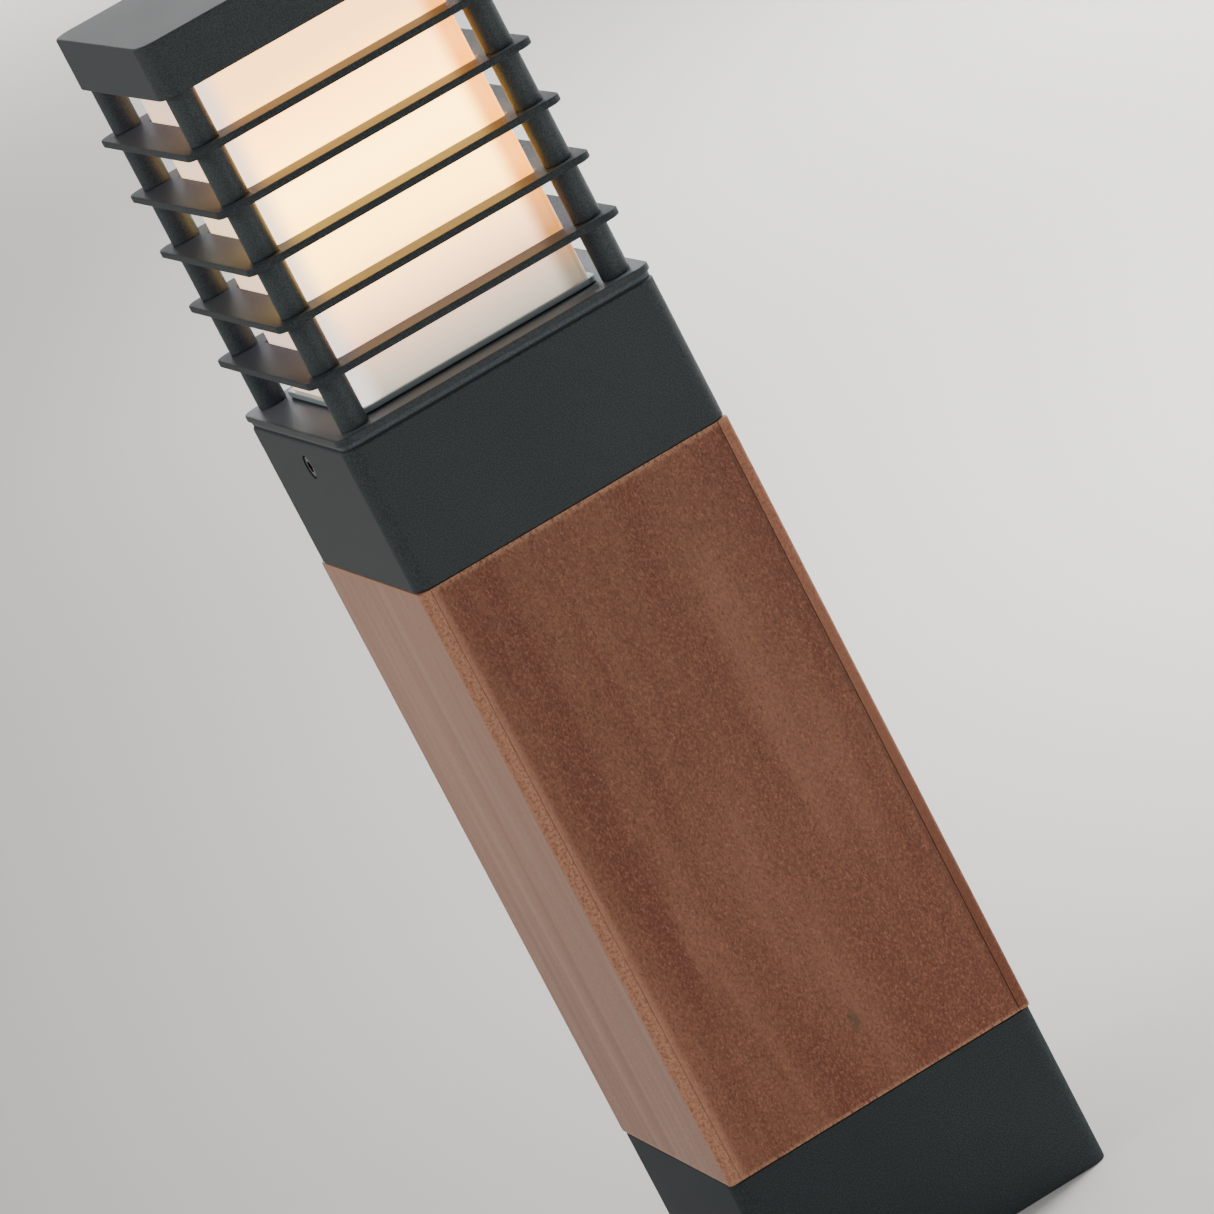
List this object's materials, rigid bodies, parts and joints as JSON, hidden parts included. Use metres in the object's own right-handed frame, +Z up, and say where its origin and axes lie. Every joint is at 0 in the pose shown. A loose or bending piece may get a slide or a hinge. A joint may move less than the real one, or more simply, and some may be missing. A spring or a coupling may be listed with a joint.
{
  "type": "bollard light",
  "caption": "Low square garden bollard light with a timber-clad post, a dark metal foot and collar, and a louvred lantern head around an opal diffuser.",
  "frame": {"origin": "middle of the foot's underside, on the ground", "axes": "+Z up along the post, +X to the right of the front face, and the front face looks along -Y"},
  "size_m": [0.1206, 0.1206, 0.4883],
  "materials": {
    "anthracite_paint": "anthracite grey fine-texture powder coat on cast aluminium, matt",
    "oiled_hardwood": "reddish-brown tropical hardwood, planed, vertical grain with dark pores, oiled satin",
    "opal_acrylic": "opal white acrylic, satin gloss, glows warm cream when lit from inside",
    "black_rubber": "matt black seal rubber",
    "stainless_steel": "plain stainless steel, turned",
    "mill_aluminium": "mill-finish aluminium extrusion",
    "zinc_plated_steel": "bright zinc plated pressed steel",
    "white_porcelain": "white glazed porcelain",
    "black_nylon": "dark grey moulded nylon",
    "cable_sheath": "matt black heat-resistant cable sheath",
    "frosted_glass": "frosted white bulb glass, lit warm"
  },
  "bodies": {
    "pillar": {"ground_bracket": "zinc_plated_steel", "foot_casting": "anthracite_paint", "foot_screw_left": "stainless_steel", "foot_screw_right": "stainless_steel", "core_tube": "mill_aluminium", "timber_board_left": "oiled_hardwood", "timber_board_right": "oiled_hardwood", "timber_board_front": "oiled_hardwood", "timber_board_back": "oiled_hardwood", "collar_casting": "anthracite_paint", "head_gasket": "black_rubber", "lampholder": "white_porcelain", "lampholder_bracket": "zinc_plated_steel", "bracket_screw_left": "stainless_steel", "bracket_screw_right": "stainless_steel", "cable_gland": "black_nylon", "terminal_block": "black_nylon", "lamp_lead": "cable_sheath"},
    "head": {"head_plate": "anthracite_paint", "diffuser": "opal_acrylic", "diffuser_gasket": "black_rubber", "louvre_1": "anthracite_paint", "louvre_2": "anthracite_paint", "louvre_3": "anthracite_paint", "louvre_4": "anthracite_paint", "louvre_5": "anthracite_paint", "spacer_front_left_1": "anthracite_paint", "spacer_front_right_1": "anthracite_paint", "spacer_back_right_1": "anthracite_paint", "spacer_back_left_1": "anthracite_paint", "spacer_front_left_2": "anthracite_paint", "spacer_front_right_2": "anthracite_paint", "spacer_back_right_2": "anthracite_paint", "spacer_back_left_2": "anthracite_paint", "spacer_front_left_3": "anthracite_paint", "spacer_front_right_3": "anthracite_paint", "spacer_back_right_3": "anthracite_paint", "spacer_back_left_3": "anthracite_paint", "spacer_front_left_4": "anthracite_paint", "spacer_front_right_4": "anthracite_paint", "spacer_back_right_4": "anthracite_paint", "spacer_back_left_4": "anthracite_paint", "spacer_front_left_5": "anthracite_paint", "spacer_front_right_5": "anthracite_paint", "spacer_back_right_5": "anthracite_paint", "spacer_back_left_5": "anthracite_paint", "spacer_front_left_6": "anthracite_paint", "spacer_front_right_6": "anthracite_paint", "spacer_back_right_6": "anthracite_paint", "spacer_back_left_6": "anthracite_paint", "tie_rod_front_left": "stainless_steel", "tie_rod_front_right": "stainless_steel", "tie_rod_back_right": "stainless_steel", "tie_rod_back_left": "stainless_steel", "cap": "anthracite_paint"},
    "lamp": {"lamp_screw_cap": "mill_aluminium", "lamp_bulb": "frosted_glass"},
    "clamp_left": {"clamp_screw_left": "stainless_steel"},
    "clamp_right": {"clamp_screw_right": "stainless_steel"}
  },
  "joints": [
    {"name": "head_lift", "type": "slide", "parent": "pillar", "child": "head", "axis": [0, 0, 1], "range_m": [0, 0.13]},
    {"name": "lamp_withdraw", "type": "slide", "parent": "pillar", "child": "lamp", "axis": [0, 0, 1], "range_m": [0, 0.028]},
    {"name": "clamp_left_back_out", "type": "slide", "parent": "pillar", "child": "clamp_left", "axis": [-1, 0, 0], "range_m": [0, 0.003]},
    {"name": "clamp_right_back_out", "type": "slide", "parent": "pillar", "child": "clamp_right", "axis": [1, 0, 0], "range_m": [0, 0.003]}
  ]
}
